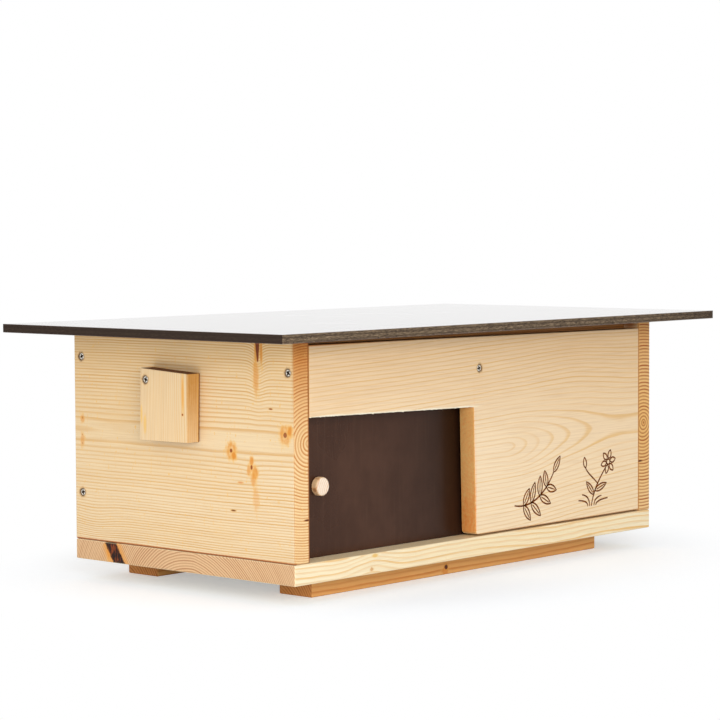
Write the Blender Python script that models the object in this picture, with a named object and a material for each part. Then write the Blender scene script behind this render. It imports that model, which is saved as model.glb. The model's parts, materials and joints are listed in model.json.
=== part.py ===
"""Tortoise house: a low box of spruce boards with a sliding door and a swivelling vent cover.

A sheet of dark plywood lies on top as a lift-off roof. Lengths are in metres, +Z is up,
the doorway faces -Y and the origin is on the ground under the middle of the roof.
"""

import math

import bmesh
import bpy
from mathutils import Matrix, Vector

# House box
house_width = 0.598
house_depth = 0.320
wall_height = 0.220
side_thickness = 0.022
front_thickness = 0.020
back_thickness = 0.022
floor_thickness = 0.021
board_round = 0.0012
seat_gap = 0.0003

# Feet under the floor
runner_height = 0.021
runner_width = 0.045
runner_end_inset = 0.060
runner_front_setback = 0.034
runner_back_setback = 0.016

# Roof
roof_thickness = 0.009
roof_end_overhang = 0.0625
roof_front_overhang = 0.045
roof_back_overhang = 0.041
roof_round = 0.0004
batten_width = 0.020
batten_height = 0.015
batten_clearance = 0.0015

# Front board: its upper edge and the doorway are sawn a little out of square
front_foot_gap = 0.0020
front_drop_left = 0.0054
front_drop_right = 0.0095
doorway_width = 0.2550
doorway_lean = 0.0031
doorway_height = 0.1385
doorway_rise = 0.0050
doorway_corner = 0.0050

# Door, its knob and the battens that guide it
door_thickness = 0.009
door_gap = 0.0030
door_round = 0.0003
door_end_clearance = 0.0005
door_slide_clearance = 0.0005
door_head_clearance = 0.0010
door_side_lap = 0.0245
door_head_lap = 0.0255
knob_diameter = 0.019
knob_length = 0.008
knob_round = 0.0025
knob_inset = 0.0354
guide_top_gap = 0.003
guide_screw_share = 0.197
keeper_thickness = 0.010
keeper_drop = 0.019
sill_guide_width = 0.012
sill_guide_height = 0.012
guide_round = 0.0008

# Vent hole in the left wall and the block that turns over it
vent_diameter = 0.036
cover_thickness = 0.018
cover_lap = 0.012
cover_skew = 0.0011
cover_clearance = 0.003
cover_tilt = math.radians(1.4)
pivot_side_inset = 0.0075
pivot_top_inset = 0.0105
pivot_setback = 0.1290
pivot_drop = 0.0447

# Countersunk screws
screw_shank = 0.0035
screw_head = 0.0070
head_edge = 0.0004
head_sink = 0.0008
screw_point = 0.0040
slot_reach = 0.0019
slot_width = 0.0009
slot_depth = 0.0012
drill_clearance = 0.0003
rim_clearance = 0.0007
tip_clearance = 0.0005
screw_cover = 0.0035
knob_screw_cover = 0.0017
wall_screw = 0.045
rail_screw = 0.034
floor_screw = 0.050
runner_screw = 0.034
guide_screw = 0.032
sill_screw = 0.026
wall_screw_drop = 0.026
wall_screw_rise = 0.050
front_screw_drop = 0.032
front_screw_setback = 0.0080
rail_screw_offset = 0.0124
floor_screw_inset = 0.060
back_screw_inset = 0.150
runner_screw_inset = 0.090
batten_screw_inset = 0.045
guide_screw_inset = 0.060

# Modelling values
cut_overrun = 0.005
merge_distance = 0.000003
round_segments = 2
arc_steps = 6
screw_sides = 12
vent_sides = 32
knob_sides = 32
smooth_angle = math.radians(35)

# Places worked out from the sizes above
roof_width = house_width + 2 * roof_end_overhang
roof_depth = house_depth + roof_front_overhang + roof_back_overhang
left_x = -house_width / 2
right_x = house_width / 2
inner_left = left_x + side_thickness
inner_right = right_x - side_thickness
front_y = -roof_depth / 2 + roof_front_overhang
back_y = front_y + house_depth
front_inside = front_y + front_thickness
back_inside = back_y - back_thickness
floor_bottom = runner_height + seat_gap
floor_top = floor_bottom + floor_thickness
wall_bottom = floor_top + seat_gap
wall_top = wall_bottom + wall_height
roof_bottom = wall_top + seat_gap
doorway_edge = inner_left + doorway_width
door_left = inner_left + door_end_clearance
door_right = doorway_edge + door_side_lap
door_front = front_inside + door_gap
door_back = door_front + door_thickness
door_bottom = floor_top + seat_gap
door_top = floor_top + doorway_height + doorway_rise + door_head_lap
spacer_bottom = door_top + door_head_clearance
spacer_top = wall_top - guide_top_gap
keeper_front = door_back + door_slide_clearance
keeper_back = keeper_front + keeper_thickness
keeper_bottom = spacer_bottom - keeper_drop
rail_height = spacer_bottom + guide_screw_share * (spacer_top - spacer_bottom)
sill_guide_back = keeper_front + sill_guide_width
knob_x = door_left + knob_inset
knob_z = floor_top + (doorway_height + doorway_rise) / 2
batten_top = roof_bottom - seat_gap
batten_front = keeper_back + batten_clearance
batten_back = back_inside - batten_clearance
vent_radius = vent_diameter / 2
vent_reach = vent_radius + pivot_top_inset + cover_clearance
cover_width = pivot_side_inset + vent_reach + vent_radius + cover_lap
cover_height = pivot_top_inset + vent_reach + vent_radius + cover_lap
pivot_y = back_y - pivot_setback
pivot_z = wall_top - pivot_drop
cover_inside = left_x - seat_gap
cover_outside = cover_inside - cover_thickness
head_height = (screw_head - screw_shank) / 2
batten_screw = batten_height + seat_gap + roof_thickness - head_sink - screw_cover
knob_screw = door_thickness + knob_length - head_sink - knob_screw_cover
pivot_screw = cover_thickness + seat_gap + side_thickness - head_sink - screw_cover

DOWN = Vector((0, 0, -1))
UP = Vector((0, 0, 1))
TO_RIGHT = Vector((1, 0, 0))
TO_LEFT = Vector((-1, 0, 0))
TO_BACK = Vector((0, 1, 0))
TO_FRONT = Vector((0, -1, 0))


def clear_scene():
    for old in list(bpy.data.objects):
        bpy.data.objects.remove(old, do_unlink=True)


def finish(name, colour, roughness, metallic=0.0):
    material = bpy.data.materials.new(name)
    material.use_nodes = True
    shader = material.node_tree.nodes["Principled BSDF"]
    shader.inputs["Base Color"].default_value = (*colour, 1.0)
    shader.inputs["Roughness"].default_value = roughness
    shader.inputs["Metallic"].default_value = metallic
    material.diffuse_color = (*colour, 1.0)
    return material


def make_finishes():
    return {
        "spruce": finish("spruce", (0.76, 0.56, 0.33), 0.55),
        "pine_batten": finish("pine_batten", (0.56, 0.26, 0.08), 0.6),
        "film_plywood": finish("film_plywood", (0.045, 0.022, 0.014), 0.25),
        "beech": finish("beech", (0.87, 0.68, 0.48), 0.5),
        "zinc": finish("zinc", (0.72, 0.72, 0.70), 0.3, 1.0),
    }


def add_object(name, mesh, material=None):
    piece = bpy.data.objects.new(name, mesh)
    bpy.context.scene.collection.objects.link(piece)
    if material:
        mesh.materials.clear()
        mesh.materials.append(material)
    return piece


def shade_round(mesh):
    mesh.shade_smooth()
    mesh.set_sharp_from_angle(angle=smooth_angle)


def add_rounding(piece, width):
    bevel = piece.modifiers.new("eased_edges", "BEVEL")
    bevel.width = width
    bevel.segments = round_segments
    bevel.limit_method = "ANGLE"
    bevel.angle_limit = smooth_angle
    bevel.use_clamp_overlap = True


def box_mesh(name, size):
    form = bmesh.new()
    bmesh.ops.create_cube(form, size=1.0, matrix=Matrix.Diagonal((*size, 1.0)))
    mesh = bpy.data.meshes.new(name)
    form.to_mesh(mesh)
    form.free()
    return mesh


def board(name, low, high, material, rounding):
    """A board between two opposite corners, with eased edges and its origin at its middle."""
    low = Vector(low)
    high = Vector(high)
    piece = add_object(name, box_mesh(name, high - low), material)
    piece.location = (low + high) / 2
    add_rounding(piece, rounding)
    return piece


def extruded_mesh(name, outline, thickness, to_space):
    """A closed plate: the outline's (across, up) points, pushed through by the thickness."""
    form = bmesh.new()
    rim = [form.verts.new(to_space(across, up)) for across, up in outline]
    face = form.faces.new(rim)
    pushed = bmesh.ops.extrude_face_region(form, geom=[face])
    moved = [part for part in pushed["geom"] if isinstance(part, bmesh.types.BMVert)]
    bmesh.ops.translate(form, verts=moved, vec=thickness)
    bmesh.ops.recalc_face_normals(form, faces=form.faces)
    mesh = bpy.data.meshes.new(name)
    form.to_mesh(mesh)
    form.free()
    return mesh


def turned_mesh(name, profile, sides):
    """A closed solid of revolution about Z from (radius, height) points that start and end on Z."""
    form = bmesh.new()
    points = [form.verts.new((radius, 0, height)) for radius, height in profile]
    edges = [form.edges.new(pair) for pair in zip(points, points[1:])]
    bmesh.ops.spin(
        form,
        geom=points + edges,
        axis=(0, 0, 1),
        cent=(0, 0, 0),
        steps=sides,
        angle=math.tau,
        use_merge=True,
    )
    bmesh.ops.remove_doubles(form, verts=form.verts, dist=merge_distance)
    bmesh.ops.recalc_face_normals(form, faces=form.faces)
    mesh = bpy.data.meshes.new(name)
    form.to_mesh(mesh)
    form.free()
    shade_round(mesh)
    return mesh


def arc(centre, radius, start, end):
    """Points along an arc in the plane of an outline, from one angle to another."""
    points = []
    for step in range(arc_steps + 1):
        angle = start + (end - start) * step / arc_steps
        points.append((centre[0] + radius * math.cos(angle), centre[1] + radius * math.sin(angle)))
    return points


def hide_cutter(cutter):
    cutter.hide_render = True
    cutter.display_type = "WIRE"


def cut(piece, cutter):
    modifier = piece.modifiers.new("cut_" + cutter.name, "BOOLEAN")
    modifier.operation = "DIFFERENCE"
    modifier.solver = "EXACT"
    modifier.object = cutter


def aim(piece, place, direction):
    """Puts an object at a place with its -Z side pointing along the direction."""
    piece.rotation_mode = "QUATERNION"
    piece.rotation_quaternion = DOWN.rotation_difference(direction)
    piece.location = place


def screw_profile(length):
    shank = screw_shank / 2
    head = screw_head / 2
    return [
        (0, 0),
        (head, 0),
        (head, -head_edge),
        (shank, -head_edge - head_height),
        (shank, screw_point - length),
        (0, -length),
    ]


def drill_profile(length):
    """The room that a screw needs: a straight rim, a countersink and a pilot hole."""
    rim = screw_head / 2 + rim_clearance
    pilot = screw_shank / 2 + drill_clearance
    sink_depth = head_edge + drill_clearance
    return [
        (0, cut_overrun),
        (rim, cut_overrun),
        (rim, -sink_depth),
        (pilot, -sink_depth - head_height - rim_clearance + drill_clearance),
        (pilot, -length - tip_clearance),
        (0, -length - tip_clearance),
    ]


def cross_slot():
    """Cutter for the cross recess in a screw head."""
    reach = slot_reach
    half = slot_width / 2
    outline = [
        (half, half), (half, reach), (-half, reach), (-half, half),
        (-reach, half), (-reach, -half), (-half, -half), (-half, -reach),
        (half, -reach), (half, -half), (reach, -half), (reach, half),
    ]  # fmt: skip

    def to_space(across, up):
        return Vector((across, up, -slot_depth))

    return extruded_mesh("cross_slot", outline, UP * (slot_depth + cut_overrun), to_space)


def add_screw(name, surface, direction, length, through, zinc, slot_mesh):
    """A sunk screw whose head lies just below a surface, and its hole in each piece it passes."""
    direction = Vector(direction)
    head_place = Vector(surface) + direction * head_sink
    screw = add_object(name, turned_mesh(name, screw_profile(length), screw_sides), zinc)
    aim(screw, head_place, direction)
    slot = add_object(name + "_slot", slot_mesh)
    aim(slot, head_place, direction)
    hide_cutter(slot)
    cut(screw, slot)
    drill = add_object(name + "_drill", turned_mesh(name + "_drill", drill_profile(length), screw_sides))
    aim(drill, head_place, direction)
    hide_cutter(drill)
    for piece in through:
        cut(piece, drill)
    return screw


def make_base(finishes):
    """The floor board and the two runners that it stands on."""
    floor = board(
        "floor_board",
        (left_x, front_y, floor_bottom),
        (right_x, back_y, floor_top),
        finishes["spruce"],
        board_round,
    )
    runner_left = left_x + runner_end_inset
    runner_right = right_x - runner_end_inset
    runner_places = {
        "runner_front": front_y + runner_front_setback,
        "runner_back": back_y - runner_back_setback - runner_width,
    }
    runners = {}
    for name, near in runner_places.items():
        runners[name] = board(
            name,
            (runner_left, near, 0),
            (runner_right, near + runner_width, runner_height),
            finishes["pine_batten"],
            board_round,
        )
    return floor, runners


def make_walls(finishes):
    """Left, right and back boards; the back board stands between the side boards."""
    left = board(
        "side_left",
        (left_x, front_y, wall_bottom),
        (inner_left, back_y, wall_top),
        finishes["spruce"],
        board_round,
    )
    right = board(
        "side_right",
        (inner_right, front_y, wall_bottom),
        (right_x, back_y, wall_top),
        finishes["spruce"],
        board_round,
    )
    back = board(
        "back_panel",
        (inner_left + seat_gap, back_inside, wall_bottom),
        (inner_right - seat_gap, back_y, wall_top),
        finishes["spruce"],
        board_round,
    )
    return left, right, back


def front_outline():
    """The L of the front board, as (x, z) points: a full-height part and a lintel over the doorway."""
    left = inner_left + seat_gap
    right = inner_right - seat_gap
    foot = floor_top + front_foot_gap
    lintel = floor_top + doorway_height
    corner = (doorway_edge + doorway_lean + doorway_corner, foot + doorway_corner)
    return [
        (left, wall_top - front_drop_left),
        (left, lintel + doorway_rise),
        (doorway_edge, lintel),
        *arc(corner, doorway_corner, math.pi, math.pi * 1.5),
        (right, foot),
        (right, wall_top - front_drop_right),
    ]


def make_front(finishes):
    """The front board, sawn from one plank, between the side boards."""

    def to_space(across, up):
        return Vector((across, front_y, up))

    mesh = extruded_mesh("front_panel", front_outline(), TO_BACK * front_thickness, to_space)
    front = add_object("front_panel", mesh, finishes["spruce"])
    add_rounding(front, board_round)
    return front


def make_guides(finishes):
    """Battens behind the front board: the door runs between it and these."""
    left = inner_left + seat_gap
    right = inner_right - seat_gap
    spacer = board(
        "door_guide_spacer",
        (left, front_inside + seat_gap, spacer_bottom),
        (right, keeper_front - seat_gap, spacer_top),
        finishes["spruce"],
        guide_round,
    )
    keeper = board(
        "door_guide_keeper",
        (left, keeper_front, keeper_bottom),
        (right, keeper_back, spacer_top),
        finishes["spruce"],
        guide_round,
    )
    sill = board(
        "door_guide_sill",
        (left, keeper_front, floor_top + seat_gap),
        (right, sill_guide_back, floor_top + sill_guide_height),
        finishes["spruce"],
        guide_round,
    )
    return spacer, keeper, sill


def make_door(finishes):
    """The sliding sheet and its knob, a short slice of round rod."""
    door = board(
        "sliding_door",
        (door_left, door_front, door_bottom),
        (door_right, door_back, door_top),
        finishes["film_plywood"],
        door_round,
    )
    radius = knob_diameter / 2
    shoulder = (radius - knob_round, knob_length - knob_round)
    profile = [(0, seat_gap), (radius, seat_gap)]
    for across, up in arc(shoulder, knob_round, 0, math.pi / 2):
        profile.append((across, up))
    profile.append((0, knob_length))
    knob = add_object("door_knob", turned_mesh("door_knob", profile, knob_sides), finishes["beech"])
    aim(knob, (knob_x, door_front, knob_z), TO_BACK)
    return door, knob


def make_roof(finishes):
    """The plywood sheet and two battens; they drop between the walls, the keeper and the back."""
    sheet = board(
        "roof_board",
        (-roof_width / 2, -roof_depth / 2, roof_bottom),
        (roof_width / 2, roof_depth / 2, roof_bottom + roof_thickness),
        finishes["film_plywood"],
        roof_round,
    )
    near = inner_right - batten_clearance - batten_width
    far = inner_right - batten_clearance
    spans = {"roof_batten_left": (-far, -near), "roof_batten_right": (near, far)}
    battens = {}
    for name, (low, high) in spans.items():
        battens[name] = board(
            name,
            (low, batten_front, batten_top - batten_height),
            (high, batten_back, batten_top),
            finishes["spruce"],
            guide_round,
        )
    return sheet, battens


def cut_vent(wall):
    """The round air hole, low and to the front of the cover's pivot."""
    half = side_thickness / 2 + cut_overrun
    profile = [(0, -half), (vent_radius, -half), (vent_radius, half), (0, half)]
    cutter = add_object("vent_cutter", turned_mesh("vent_cutter", profile, vent_sides))
    aim(
        cutter,
        (left_x + side_thickness / 2, pivot_y - vent_reach, pivot_z - vent_reach),
        TO_RIGHT,
    )
    hide_cutter(cutter)
    cut(wall, cutter)


def make_cover(finishes):
    """The offcut that hangs from one screw over the vent; its origin is on its pivot."""
    near = pivot_side_inset
    far = pivot_side_inset - cover_width
    top = pivot_top_inset
    bottom = pivot_top_inset - cover_height
    outline = [
        (near, top + cover_skew),
        (far, top - cover_skew),
        (far, bottom + cover_skew),
        (near, bottom - cover_skew),
    ]

    def to_space(across, up):
        return Vector((0, across, up))

    mesh = extruded_mesh("vent_cover", outline, TO_LEFT * cover_thickness, to_space)
    cover = add_object("vent_cover", mesh, finishes["spruce"])
    cover.location = (cover_inside, pivot_y, pivot_z)
    cover.rotation_euler = (cover_tilt, 0, 0)
    add_rounding(cover, guide_round)
    return cover


def screw_walls(pieces, drive):
    """Screws through the side boards into the ends of the back and front boards."""
    back_line = (back_inside + back_y) / 2
    front_line = front_y + front_screw_setback
    upper = wall_top - wall_screw_drop
    lower = wall_bottom + wall_screw_rise
    head = wall_top - front_screw_drop
    for side, face, inward in (("left", left_x, TO_RIGHT), ("right", right_x, TO_LEFT)):
        wall = pieces["side_" + side]
        places = {
            "back_upper": (back_line, upper, "back_panel"),
            "back_lower": (back_line, lower, "back_panel"),
            "front_upper": (front_line, head, "front_panel"),
        }
        if side == "right":
            places["front_lower"] = (front_line, lower, "front_panel")
        for place, (y, z, neighbour) in places.items():
            name = "screw_" + side + "_" + place
            drive(name, (face, y, z), inward, wall_screw, [wall, pieces[neighbour]])


def screw_base(pieces, drive):
    """Screws from below: floor into walls, and runners into the floor."""
    floor = pieces["floor_board"]
    for side, x in (("left", (left_x + inner_left) / 2), ("right", (right_x + inner_right) / 2)):
        wall = pieces["side_" + side]
        for end, y in (("front", front_y + floor_screw_inset), ("back", back_y - floor_screw_inset)):
            drive("screw_floor_" + side + "_" + end, (x, y, floor_bottom), UP, floor_screw, [floor, wall])
    back_line = (back_inside + back_y) / 2
    for side, x in (("left", left_x + back_screw_inset), ("right", right_x - back_screw_inset)):
        through = [floor, pieces["back_panel"]]
        drive("screw_floor_back_" + side, (x, back_line, floor_bottom), UP, floor_screw, through)
    for end in ("front", "back"):
        runner = pieces["runner_" + end]
        inset = runner_end_inset + runner_screw_inset
        for side, x in (("left", left_x + inset), ("right", right_x - inset)):
            place = (x, runner.location.y, 0)
            drive("screw_runner_" + end + "_" + side, place, UP, runner_screw, [runner, floor])


def screw_guides(pieces, drive):
    """The one screw seen on the front board, and those that hold the guides from inside."""
    spacer = pieces["door_guide_spacer"]
    keeper = pieces["door_guide_keeper"]
    sill = pieces["door_guide_sill"]
    front = pieces["front_panel"]
    rail_place = (-rail_screw_offset, front_y, rail_height)
    drive("screw_front_rail", rail_place, TO_BACK, rail_screw, [front, spacer, keeper])
    for side, x in (("left", inner_left + guide_screw_inset), ("right", inner_right - guide_screw_inset)):
        place = (x, keeper_back, rail_height)
        drive("screw_guide_" + side, place, TO_FRONT, guide_screw, [keeper, spacer, front])
        place = (x, sill.location.y, floor_top + sill_guide_height)
        drive("screw_sill_" + side, place, DOWN, sill_screw, [sill, pieces["floor_board"]])


def screw_fittings(pieces, drive):
    """Screws of the roof battens, the knob and the vent cover."""
    for side in ("left", "right"):
        batten = pieces["roof_batten_" + side]
        lines = (("front", batten_front + batten_screw_inset), ("back", batten_back - batten_screw_inset))
        for end, y in lines:
            place = (batten.location.x, y, batten_top - batten_height)
            through = [batten, pieces["roof_board"]]
            drive("screw_batten_" + side + "_" + end, place, UP, batten_screw, through)
    knob_through = [pieces["sliding_door"], pieces["door_knob"]]
    drive("knob_screw", (knob_x, door_back, knob_z), TO_FRONT, knob_screw, knob_through)
    pivot_through = [pieces["vent_cover"], pieces["side_left"]]
    drive("vent_pivot_screw", (cover_outside, pivot_y, pivot_z), TO_RIGHT, pivot_screw, pivot_through)


def build_house():
    clear_scene()
    finishes = make_finishes()
    floor, runners = make_base(finishes)
    left, right, back = make_walls(finishes)
    front = make_front(finishes)
    door, knob = make_door(finishes)
    sheet, battens = make_roof(finishes)
    cut_vent(left)
    boards = [floor, left, right, back, front, *make_guides(finishes), door, knob, sheet]
    boards += [make_cover(finishes), *runners.values(), *battens.values()]
    pieces = {piece.name: piece for piece in boards}
    slot_mesh = cross_slot()

    def drive(name, surface, direction, length, through):
        add_screw(name, surface, direction, length, through, finishes["zinc"], slot_mesh)

    screw_walls(pieces, drive)
    screw_base(pieces, drive)
    screw_guides(pieces, drive)
    screw_fittings(pieces, drive)


build_house()
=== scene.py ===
"""Looks of the tortoise house: solid-wood grain, film-faced plywood, screws and burnt line work.

Lengths are in metres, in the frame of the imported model: the doorway faces -Y and +Z is up.
"""

import json
import math
import random
from dataclasses import dataclass, field

import bmesh
import bpy
from mathutils import Matrix, Vector, noise


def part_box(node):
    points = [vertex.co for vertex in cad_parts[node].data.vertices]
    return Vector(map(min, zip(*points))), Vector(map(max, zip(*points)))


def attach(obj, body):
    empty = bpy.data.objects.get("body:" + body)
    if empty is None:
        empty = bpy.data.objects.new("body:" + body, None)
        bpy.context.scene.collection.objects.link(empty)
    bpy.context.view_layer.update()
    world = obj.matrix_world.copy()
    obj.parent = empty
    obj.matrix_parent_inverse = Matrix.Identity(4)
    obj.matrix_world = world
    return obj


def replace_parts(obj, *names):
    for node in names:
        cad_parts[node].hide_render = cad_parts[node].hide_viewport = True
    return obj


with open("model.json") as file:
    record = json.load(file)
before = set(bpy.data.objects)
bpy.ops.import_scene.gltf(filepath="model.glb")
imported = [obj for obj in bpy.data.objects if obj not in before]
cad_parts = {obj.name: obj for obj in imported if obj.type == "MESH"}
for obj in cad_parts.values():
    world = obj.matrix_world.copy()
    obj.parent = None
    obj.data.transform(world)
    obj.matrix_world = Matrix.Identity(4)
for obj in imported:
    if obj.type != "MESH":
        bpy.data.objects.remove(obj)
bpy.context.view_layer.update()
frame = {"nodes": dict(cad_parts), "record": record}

MM = 0.001
X, Y, Z = 0, 1, 2
UP = Vector((0, 0, 1))

# Camera, solved from the edges of the house in the 720 x 720 photograph
CAMERA_PLACE = (-2.0110, -1.7805, 0.3813)
CAMERA_YAW = math.radians(-48.108)
CAMERA_TILT = math.radians(90 - 3.348)
CAMERA_ROLL = math.radians(-0.285)
CAMERA_LENS = 121.53
CAMERA_SENSOR = 36

# Doorway, sawn out of the front board
DOORWAY_EDGE_TOP = -22.0 * MM
DOORWAY_EDGE_FOOT = -18.9 * MM
LINTEL_LEFT = 185.8 * MM
LINTEL_RIGHT = 180.8 * MM
DOORWAY_CORNER = 5 * MM
CORNER_STEPS = 6
FRONT_TOP_DROP = 4.1 * MM
BOARD_EASE = 0.9 * MM
EDGE_STEP = 12 * MM
TEAR_STEP = 0.7 * MM
TEAR_HEIGHT = 0.9 * MM
TEAR_REACH = 1.8 * MM
SPLINTER_LENGTH = 3.0 * MM

# Screws
SCREW_HEAD = 3.5 * MM
SCREW_CREST = 1.72 * MM
SCREW_CORE = 1.2 * MM
SCREW_RIM = 0.35 * MM
SCREW_POINT = 4 * MM
SCREW_SIDES = 48
HEAD_RINGS = 14
HEAD_EASE = 0.12 * MM
HEAD_EDGE = 0.1 * MM
HEAD_BRIGHT = 3.1 * MM
HEAD_SINK = 0.8 * MM
THREAD_PITCH = 2.0 * MM
THREAD_STEPS = 8
THREAD_TOOTH = 0.22
RECESS_REACH = 2.7 * MM
RECESS_HALF = 0.9 * MM
RECESS_TAPER = 0.35
RECESS_DEPTH = 1.5 * MM
RECESS_SLOPE = 0.16 * MM
RECESS_END = 0.5 * MM
RECESS_LIP = 0.3 * MM

# Screw holes
RIM_CLEARANCE = 0.7 * MM
BORE_CLEARANCE = 0.3 * MM
DRILL_OVERRUN = 4 * MM
DRILL_SIDES = 32

# Plywood edges
PLIES = 7
PLY_GROOVE = 0.14 * MM
PLY_WAVER = 0.10 * MM
PLY_STEP = 3.0 * MM
PLY_EASE = 0.35 * MM
PLY_SKIN = 0.05 * MM
PLY_CREST = 0.02 * MM

# Knob
KNOB_RIM = 2.2 * MM
KNOB_BACK_EASE = 0.6 * MM
KNOB_HOLLOW = 0.12 * MM
KNOB_STEPS = 8
KNOB_SIDES = 96

# Burnt lines
LINE_WIDTH = 1.9 * MM
STEM_WIDTH = LINE_WIDTH * 1.15
LINE_PROUD = 0.06 * MM
LINE_SUNK = 0.10 * MM
LINE_EASE = 0.1 * MM
TIP_SHARE = 0.75
SPRIG_SIZE = (84 * MM, 60 * MM)
SPRIG_RISE = 15 * MM
LEAF_SPRIG_FROM_LEFT = 345 * MM
FLOWER_SPRIG_FROM_LEFT = 460 * MM


def mm(x, y, z):
    """A shift or a reach along the axes, given in millimetres."""
    return Vector((x * MM, y * MM, z * MM))


def srgb(red, green, blue):
    """A colour read off a screen, 0 to 255, as linear light."""
    def linear(step):
        share = step / 255
        return share / 12.92 if share <= 0.04045 else ((share + 0.055) / 1.055) ** 2.4

    return (linear(red), linear(green), linear(blue), 1.0)


class Value:
    """An output socket. Sums written with it add Math nodes to its finish."""

    def __init__(self, finish, socket):
        self.finish = finish
        self.socket = socket

    def math(self, operation, *given):
        return self.finish.node("Math", {"operation": operation}, dict(enumerate((self, *given))))

    def side(self, name):
        return Value(self.finish, self.socket.node.outputs[name])

    def __add__(self, other):
        return self.math("ADD", other)

    def __sub__(self, other):
        return self.math("SUBTRACT", other)

    def __rsub__(self, other):
        return self.finish.node("Math", {"operation": "SUBTRACT"}, {0: other, 1: self})

    def __mul__(self, other):
        return self.math("MULTIPLY", other)

    def __truediv__(self, other):
        return self.math("DIVIDE", other)

    def __pow__(self, other):
        return self.math("POWER", other)

    def __rpow__(self, other):
        return self.finish.node("Math", {"operation": "POWER"}, {0: other, 1: self})

    __radd__ = __add__
    __rmul__ = __mul__

    def least(self, other):
        return self.math("MINIMUM", other)

    def most(self, other):
        return self.math("MAXIMUM", other)


class Finish:
    """A node tree under construction: a material, or the light of the world."""

    def __init__(self, owner):
        owner.use_nodes = True
        self.owner = owner
        self.tree = owner.node_tree
        self.tree.nodes.clear()

    def node(self, kind, settings, inputs, output=0):
        """Adds a node: its settings first, then the values or links of its sockets."""
        made = self.tree.nodes.new("ShaderNode" + kind)
        for name, setting in settings.items():
            setattr(made, name, setting)
        for name, given in inputs.items():
            if isinstance(given, Value):
                self.tree.links.new(given.socket, made.inputs[name])
            else:
                made.inputs[name].default_value = given
        return Value(self, made.outputs[output]) if made.outputs else None

    def coordinates(self):
        return self.node("TexCoord", {}, {}, "Object")

    def facing(self):
        return self.node("TexCoord", {}, {}, "Normal")

    def parts(self, vector):
        split = self.node("SeparateXYZ", {}, {"Vector": vector})
        return [split.side(name) for name in "XYZ"]

    def vector(self, operation, first, second=None, output="Vector"):
        inputs = {0: first} if second is None else {0: first, 1: second}
        return self.node("VectorMath", {"operation": operation}, inputs, output)

    def noise(self, place, scales, detail=2.0, roughness=0.5, seed=0.0):
        """Noise from 0 to 1, with its own number of waves per metre along each axis."""
        stretched = self.vector("MULTIPLY", place, scales)
        inputs = {"Vector": stretched, "W": seed, "Scale": 1.0, "Detail": detail, "Roughness": roughness}
        return self.node("TexNoise", {"noise_dimensions": "4D"}, inputs, "Fac")

    def step(self, value, low, high):
        """A smooth step from 0 at low to 1 at high."""
        settings = {"interpolation_type": "SMOOTHSTEP", "clamp": True}
        return self.node("MapRange", settings, {"Value": value, "From Min": low, "From Max": high})

    def blob(self, place, centre, reach):
        """1 at a centre, fading out as a bell over the reach along each axis."""
        shift = self.vector("DIVIDE", self.vector("SUBTRACT", place, centre), reach)
        square = self.vector("DOT_PRODUCT", shift, shift, "Value")
        return math.e ** (square * -1)

    def blend(self, first, second, share, kind="MIX"):
        settings = {"data_type": "RGBA", "blend_type": kind, "clamp_factor": True}
        return self.node("Mix", settings, {0: share, 6: first, 7: second}, 2)

    def bump(self, height, distance, strength=1.0):
        return self.node("Bump", {}, {"Height": height, "Distance": distance, "Strength": strength})

    def surface(self, **sockets):
        inputs = {name.replace("_", " "): given for name, given in sockets.items()}
        return self.close(self.node("BsdfPrincipled", {}, inputs))

    def close(self, shader, kind="OutputMaterial"):
        self.node(kind, {}, {"Surface": shader})
        return self.owner


def new_finish(name):
    return Finish(bpy.data.materials.new(name))


@dataclass
class Knot:
    """A branch in the wood, as a cone: its root, where it points, and how wide it is."""

    root: tuple
    toward: tuple
    width: float
    flare: float = 0.0
    dark: float = 1.0
    char: float = 0.0


@dataclass
class StainAndShade:
    """A coloured patch: a real stain, such as resin about a knot, or painted shade along a gap or under
    the roof; a full bell, or one with a hollow middle.
    """

    centre: tuple
    reach: tuple
    strength: float = 0.8
    colour: tuple = srgb(220, 138, 46)
    faint: tuple = srgb(238, 188, 104)
    ragged: float = 1.1
    hollow: float = 0.0
    multiplies: bool = False


def darken_keeping_grain(centre, reach, strength, colour, ragged=0.1):
    """A patch multiplied into the colour: it darkens the wood and leaves its grain to be seen. Several
    uses are painted shade, under the roof and in the gap below it.
    """
    return StainAndShade(centre, reach, strength, colour, ragged=ragged, multiplies=True)


@dataclass
class Swell:
    """A place where the rings are pushed apart, as over a branch under the surface."""

    centre: tuple
    reach: tuple
    lift: float


@dataclass
class Plank:
    """How a board was sawn out of its tree. The pith is a point in the two axes across the grain.

    It may lean along the board, or bow away on the first axis: from a start, over a span, to a depth.
    """

    along: int
    pith: tuple
    lean: tuple = (0.0, 0.0)
    bow: tuple = None
    ring: float = 4.3 * MM
    crowding: float = 3.5
    wander: float = 1.6 * MM
    late_share: float = 0.55
    strength: float = 1.0
    end_strength: float = 1.0
    seed: float = 0.0
    early: tuple = srgb(250, 226, 184)
    late: tuple = srgb(222, 166, 92)
    end_early: tuple = srgb(255, 219, 164)
    end_late: tuple = srgb(196, 104, 30)
    warm: tuple = srgb(242, 205, 150)
    box: tuple = None
    # Edge colour: a dark one paints shade along the arrises, a pale one paints a highlight.
    arris: tuple = srgb(176, 116, 62)
    arris_strength: float = 0.55
    knots: list = field(default_factory=list)
    stains_and_shade: list = field(default_factory=list)
    swells: list = field(default_factory=list)


SCREW_SHADE = srgb(84, 44, 24)
SCREW_FRINGE = srgb(236, 196, 140)
TORN_WHITE = srgb(255, 246, 220)
KNOT_HALO = srgb(228, 158, 74)
KNOT_CORE = srgb(146, 70, 30)
KNOT_RIM = srgb(84, 34, 14)
CHARRED = srgb(36, 20, 16)
PORE_BROWN = srgb(176, 120, 66)


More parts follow.
